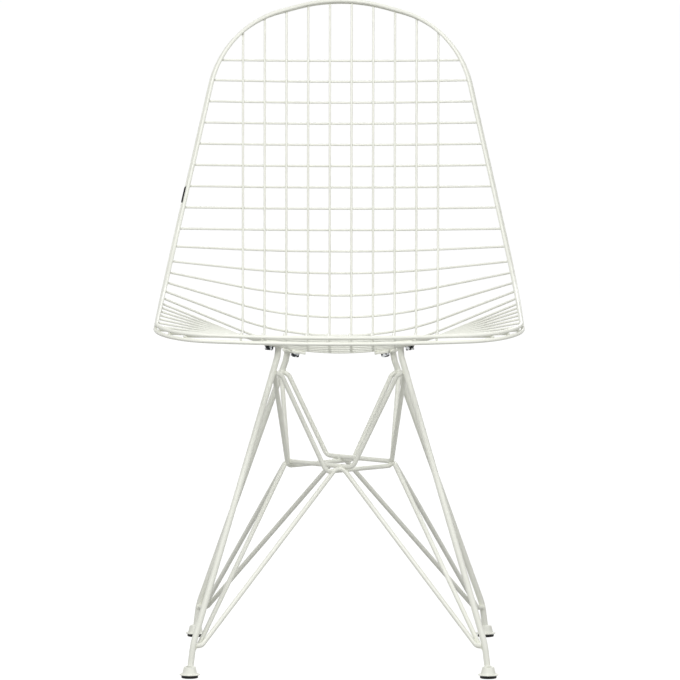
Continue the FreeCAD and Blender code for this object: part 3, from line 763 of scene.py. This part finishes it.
def glide_plastic():
    """Polyamide glide, injection moulded, black. The fine spark-eroded grain of its mould traps the
    light, so it mirrors less than a smooth face of the same plastic. The real grain is finer than the
    size given here, which is as coarse as it needs to show."""
    grain_size = 0.5
    material, tree = add_material("black_glide_polyamide")
    place = add_node(tree, "TexCoord").outputs["Object"]
    grain = {"Vector": place, "Scale": 1000 / grain_size, "Detail": 4.0, "Roughness": 0.65}
    texture = add_node(tree, "TexNoise", grain)
    tone = add_node(tree, "ValToRGB", {"Fac": texture.outputs["Fac"]})
    tone.color_ramp.elements[0].color = linear("#111110")
    tone.color_ramp.elements[1].color = linear("#1B1B1A")
    gloss = add_node(tree, "MapRange", {"Value": texture.outputs["Fac"], "To Min": 0.45, "To Max": 0.65})
    bump = add_node(tree, "Bump", {"Height": texture.outputs["Fac"], "Strength": 0.3, "Distance": 0.00005})
    shader = add_node(
        tree,
        "BsdfPrincipled",
        {
            "Base Color": tone.outputs["Color"],
            "Roughness": gloss.outputs["Result"],
            "Normal": bump.outputs["Normal"],
            "IOR": 1.53,
            "Specular IOR Level": 0.25,
        },
    )
    add_node(tree, "OutputMaterial", {"Surface": shader.outputs["BSDF"]})
    return material


def turned_outline(corners, radii):
    """An outline of radii and heights with its inner corners rounded."""
    corners = np.array([(radius, 0.0, level) for radius, level in corners])
    return rounded(corners, radii, steps=7)[:, [0, 2]]


flange_top = pad_height + flange_thickness
cup_top = pad_height + cup_height
pad_outline = turned_outline(
    [(hollow_radius, 0), (pad_dia / 2, 0), (pad_dia / 2, pad_height), (hollow_radius, pad_height)],
    [pad_lower_edge, pad_upper_edge],
)
cup_outline = turned_outline(
    [
        (hollow_radius, pad_height),
        (flange_dia / 2, pad_height),
        (flange_dia / 2, flange_top),
        (cup_base_dia / 2, flange_top),
        (cup_top_dia / 2, cup_top),
        (leg_dia / 2 - leg_overlap, cup_top),
    ],
    [flange_edge, flange_edge, cup_base_round, cup_top_round],
)
black_plastic = glide_plastic()
level_axes = np.eye(3)
cups = []
for spot, leg in legs.items():
    ground = leg.foot * on_the_level
    pad = turned(ground, level_axes, pad_outline)
    add_piece(f"glide_{spot}_moulded", [pad], black_plastic, "pad_plastic", f"glide_pad_{spot}")
    cups.append(turned(ground, level_axes, cup_outline))
    seat_of_leg = leg.foot + unit(leg.knee - leg.foot) * (cup_top - leg.foot[2])
    cups.append(weld_bead(seat_of_leg, leg.knee - leg.foot, leg_dia / 2, cup_weld_leg))
add_piece("foot_cups_coated", cups, coat, "powder_coat", "foot_cups")

# Tag. A short, thin sleeve of black shrink tubing sits on the lower rim wire at the left of the back,
# plain all round and drawn in a little at both ends.
tag_length, tag_wall, tag_distance = 22.0, 0.6, 80.5
tag_rings = 23
tag_draw_in = 0.5 * np.array([1.0, 0.5625, 0.0])


def sleeve_rubber():
    """Polyolefin shrink tubing, matt black, with faint rings where it shrank on to the wire. The bands
    of a wave texture lie pi / 10 apart at a scale of 1."""
    ring_pitch = 4.3426
    material, tree = add_material("black_shrink_sleeve")
    place = add_node(tree, "TexCoord").outputs["Object"]
    waves = add_node(
        tree,
        "TexWave",
        {"Vector": place, "Scale": 1000 / ring_pitch * np.pi / 10, "Distortion": 2.0, "Detail": 2.0},
        bands_direction="Z",
    )
    gloss = add_node(tree, "MapRange", {"Value": waves.outputs["Fac"], "To Min": 0.5, "To Max": 0.62})
    bump = add_node(tree, "Bump", {"Height": waves.outputs["Fac"], "Strength": 0.25, "Distance": 0.0001})
    shader = add_node(
        tree,
        "BsdfPrincipled",
        {
            "Base Color": linear("#121213"),
            "Roughness": gloss.outputs["Result"],
            "Normal": bump.outputs["Normal"],
            "IOR": 1.5,
            "Specular IOR Level": 0.25,
        },
    )
    add_node(tree, "OutputMaterial", {"Surface": shader.outputs["BSDF"]})
    return material


shoulder_end, elbow_end = mirrored(rim_wire(-rim_offset)[0][1:3])
stations = tag_distance + np.linspace(-0.5, 0.5, tag_rings) * tag_length
path = elbow_end + unit(shoulder_end - elbow_end) * stations[:, None]
radius = np.full(len(stations), rim_dia / 2 + tag_wall)
radius[: len(tag_draw_in)] -= tag_draw_in
radius[-len(tag_draw_in) :] -= tag_draw_in[::-1]
sleeve = surface(tube(path, radius, to_sitter, sides=20))
add_piece("rim_tag_sleeve", [sleeve], sleeve_rubber(), "tag_black", "rim_tag")

# Studio, in metres. A pale floor, which the camera sees as white with the chair's soft shadow, a white
# world, a broad soft lamp in front and above, a weaker one at the right and one behind. The camera
# stands far off in front, a little above the seat.
floor_half = 40.0
floor_seen, floor_own = 0.9, 0.24
world_light = 0.56
lamp_aim = np.array([0.0, 0.0, 0.4])


def looking(tree):
    """1 for the rays that look at the studio: the camera's own and those that gloss or glass turns."""
    ray = add_node(tree, "LightPath").outputs
    gloss = add_node(tree, "Math", {0: ray["Is Camera Ray"], 1: ray["Is Glossy Ray"]}, operation="ADD")
    glass = {0: gloss.outputs["Value"], 1: ray["Is Transmission Ray"]}
    return add_node(tree, "Math", glass, operation="ADD", use_clamp=True).outputs["Value"]


def floor_paint():
    """Matt white studio paint, with the faint mottle of a roller. The camera sees it near white."""
    material, tree = add_material("studio_floor_paint")
    place = add_node(tree, "TexCoord").outputs["Object"]
    mottle = add_node(tree, "TexNoise", {"Vector": place, "Scale": 3.0, "Detail": 3.0})
    tone = add_node(tree, "ValToRGB", {"Fac": mottle.outputs["Fac"]})
    tone.color_ramp.elements[0].color = linear("#B0B0AE")
    tone.color_ramp.elements[1].color = linear("#B6B6B4")
    plain = add_node(tree, "BsdfDiffuse", {"Color": tone.outputs["Color"], "Roughness": 0.5})
    thin = add_node(tree, "BsdfDiffuse", {"Color": (floor_own, floor_own, floor_own, 1.0)})
    glow = add_node(tree, "Emission", {"Strength": floor_seen})
    seen = add_node(tree, "AddShader")
    tree.links.new(thin.outputs["BSDF"], seen.inputs[0])
    tree.links.new(glow.outputs["Emission"], seen.inputs[1])
    choice = add_node(tree, "MixShader", {"Fac": looking(tree)})
    tree.links.new(plain.outputs["BSDF"], choice.inputs[1])
    tree.links.new(seen.outputs["Shader"], choice.inputs[2])
    add_node(tree, "OutputMaterial", {"Surface": choice.outputs["Shader"]})
    return material


floor_mesh = bpy.data.meshes.new("studio_floor")
floor_corners = [(x * floor_half, y * floor_half, 0.0) for x, y in ((-1, -1), (1, -1), (1, 1), (-1, 1))]
floor_mesh.from_pydata(floor_corners, [], [(0, 1, 2, 3)])
floor_mesh.materials.append(floor_paint())
floor = bpy.data.objects.new("studio_floor", floor_mesh)
bpy.context.scene.collection.objects.link(floor)

world = bpy.data.worlds.new("white_studio")
world.use_nodes = True
tree = world.node_tree
tree.nodes.clear()
level = add_node(tree, "MapRange", {"Value": looking(tree), "To Min": world_light, "To Max": 1.0})
sky = add_node(tree, "Background", {"Strength": level.outputs["Result"]})
add_node(tree, "OutputWorld", {"Surface": sky.outputs["Background"]})
bpy.context.scene.world = world


def add_lamp(name, place, width, watts):
    """A square soft lamp at a place, turned to the seat."""
    lamp = bpy.data.lights.new(name, "AREA")
    lamp.size = width
    lamp.energy = watts
    holder = bpy.data.objects.new(name, lamp)
    holder.location = place
    run = lamp_aim - np.array(place)
    holder.rotation_euler = (np.arctan2(np.hypot(run[0], run[1]), -run[2]), 0, np.arctan2(-run[0], run[1]))
    bpy.context.scene.collection.objects.link(holder)


add_lamp("soft_key", (-0.6, -2.9, 3.0), 1.6, 83.0)
add_lamp("soft_fill", (2.6, -2.0, 1.6), 1.8, 16.0)
add_lamp("soft_back", (0.7, 3.2, 2.4), 1.8, 28.0)

camera = bpy.data.cameras.new("camera")
camera.sensor_width = 36.0
camera.lens = 547.37
camera.clip_end = 100.0
camera_tilt, camera_turn = 6.4018, 0.3145
holder = bpy.data.objects.new("camera", camera)
holder.location = (0.0732, -13.2905, 1.905)
holder.rotation_euler = (np.radians(90 - camera_tilt), 0, np.radians(camera_turn))
bpy.context.scene.collection.objects.link(holder)
bpy.context.scene.camera = holder
bpy.context.scene.view_settings.view_transform = "Standard"
